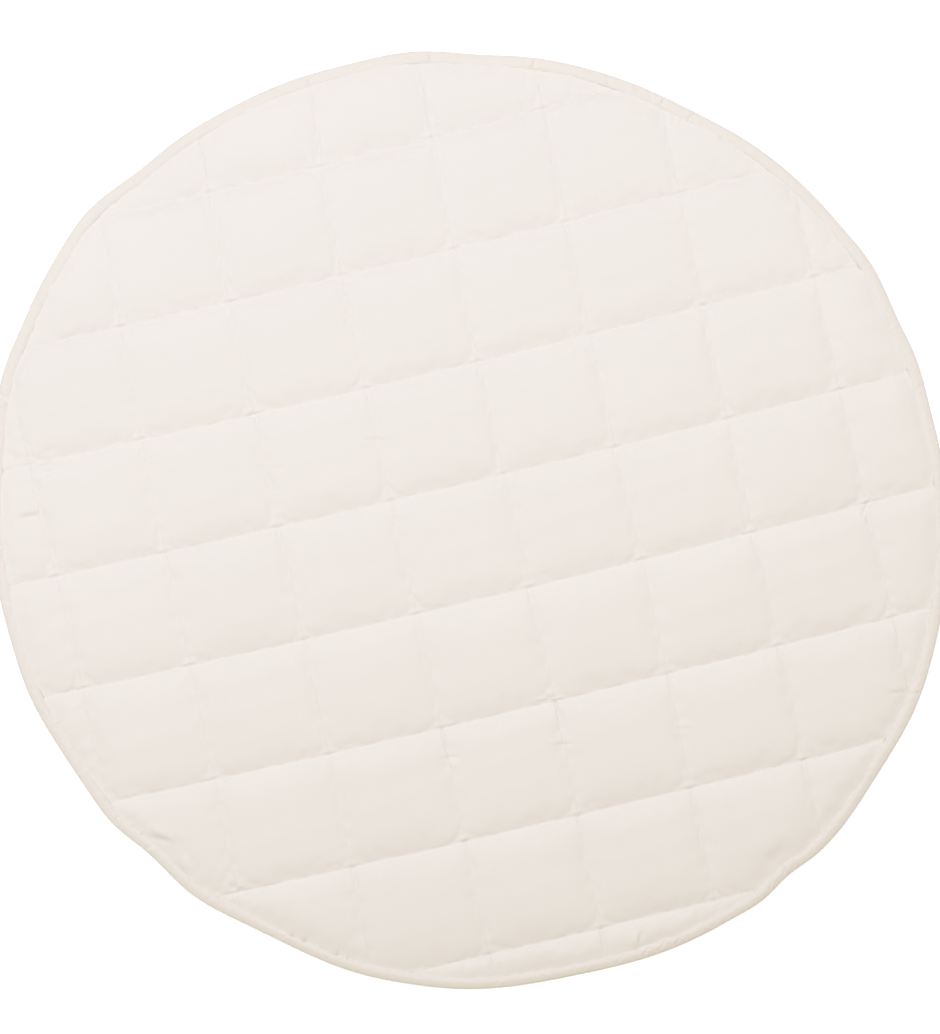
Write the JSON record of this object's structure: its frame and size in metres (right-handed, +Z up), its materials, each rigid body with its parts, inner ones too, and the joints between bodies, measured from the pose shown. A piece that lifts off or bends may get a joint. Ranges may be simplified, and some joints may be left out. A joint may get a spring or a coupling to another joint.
{
  "type": "baby play mat",
  "caption": "Round quilted play mat in cream cloth: soft square puffs between sewn channels, and a folded binding sewn round the edge.",
  "frame": {"origin": "middle of the flat underside, on the floor, at the centre of the circle that the outline follows", "axes": "+Z up through the mat's thickness; +X to the right of the mat seen from above, where the rows of puffs rise 13 degrees toward +Y"},
  "size_m": [1.0125, 0.9905, 0.0165],
  "materials": {
    "pad_cloth": "matt cream cotton, finely woven",
    "binding_cloth": "matt cream cotton strip, finely woven"
  },
  "bodies": {
    "root": {"quilted_pad": "pad_cloth", "binding": "binding_cloth"}
  },
  "joints": []
}
